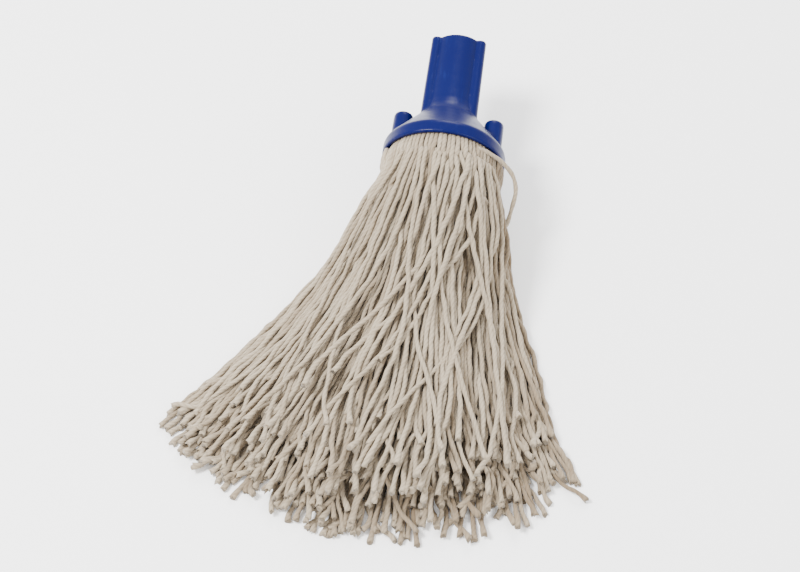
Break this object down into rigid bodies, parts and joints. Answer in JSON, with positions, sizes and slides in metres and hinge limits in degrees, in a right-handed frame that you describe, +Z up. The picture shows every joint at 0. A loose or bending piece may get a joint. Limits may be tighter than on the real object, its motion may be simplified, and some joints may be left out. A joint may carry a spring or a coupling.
{
  "type": "string mop head",
  "caption": "String mop head lying on its side: push-fit plastic handle socket with a round flange and two bosses, clamp plate, and a fan of twisted cotton strands.",
  "frame": {"origin": "on the floor, under the middle of the whole head's box as it lies on its side", "axes": "+Z up; the strands run towards -Y and spread to both sides; the handle socket's mouth faces +Y, tipped up 10 degrees"},
  "size_m": [0.2238, 0.3184, 0.0737],
  "materials": {
    "socket_plastic": "semi-gloss moulded polypropylene, blue",
    "clamp_plastic": "satin moulded plastic, black",
    "cotton_yarn": "undyed twisted cotton yarn, matt"
  },
  "bodies": {
    "head": {"socket": "socket_plastic", "clamp_plate": "clamp_plastic", "yarn_band": "cotton_yarn", "yarn_floor_1": "cotton_yarn", "yarn_floor_2": "cotton_yarn", "yarn_floor_3": "cotton_yarn", "yarn_floor_4": "cotton_yarn", "yarn_floor_5": "cotton_yarn", "yarn_floor_6": "cotton_yarn", "yarn_floor_7": "cotton_yarn", "yarn_middle_1": "cotton_yarn", "yarn_middle_2": "cotton_yarn", "yarn_middle_3": "cotton_yarn", "yarn_middle_4": "cotton_yarn", "yarn_middle_5": "cotton_yarn", "yarn_middle_6": "cotton_yarn", "yarn_middle_7": "cotton_yarn"},
    "lock_1": {"yarn_top_1": "cotton_yarn"},
    "lock_2": {"yarn_top_2": "cotton_yarn"},
    "lock_3": {"yarn_top_3": "cotton_yarn"},
    "lock_4": {"yarn_top_4": "cotton_yarn"},
    "lock_5": {"yarn_top_5": "cotton_yarn"},
    "lock_6": {"yarn_top_6": "cotton_yarn"},
    "lock_7": {"yarn_top_7": "cotton_yarn"}
  },
  "joints": [
    {"name": "lift_1", "type": "hinge", "parent": "head", "child": "lock_1", "pos_m": [-0.01032, 0.05917, 0.068], "axis": [-1, 0, 0], "range_deg": [0, 60]},
    {"name": "lift_2", "type": "hinge", "parent": "head", "child": "lock_2", "pos_m": [0.00042, 0.05917, 0.068], "axis": [-1, 0, 0], "range_deg": [0, 60]},
    {"name": "lift_3", "type": "hinge", "parent": "head", "child": "lock_3", "pos_m": [0.00863, 0.05917, 0.068], "axis": [-1, 0, 0], "range_deg": [0, 60]},
    {"name": "lift_4", "type": "hinge", "parent": "head", "child": "lock_4", "pos_m": [0.0164, 0.05917, 0.068], "axis": [-1, 0, 0], "range_deg": [0, 60]},
    {"name": "lift_5", "type": "hinge", "parent": "head", "child": "lock_5", "pos_m": [0.02418, 0.05917, 0.068], "axis": [-1, 0, 0], "range_deg": [0, 60]},
    {"name": "lift_6", "type": "hinge", "parent": "head", "child": "lock_6", "pos_m": [0.03238, 0.05917, 0.068], "axis": [-1, 0, 0], "range_deg": [0, 60]},
    {"name": "lift_7", "type": "hinge", "parent": "head", "child": "lock_7", "pos_m": [0.04313, 0.05917, 0.068], "axis": [-1, 0, 0], "range_deg": [0, 60]}
  ]
}
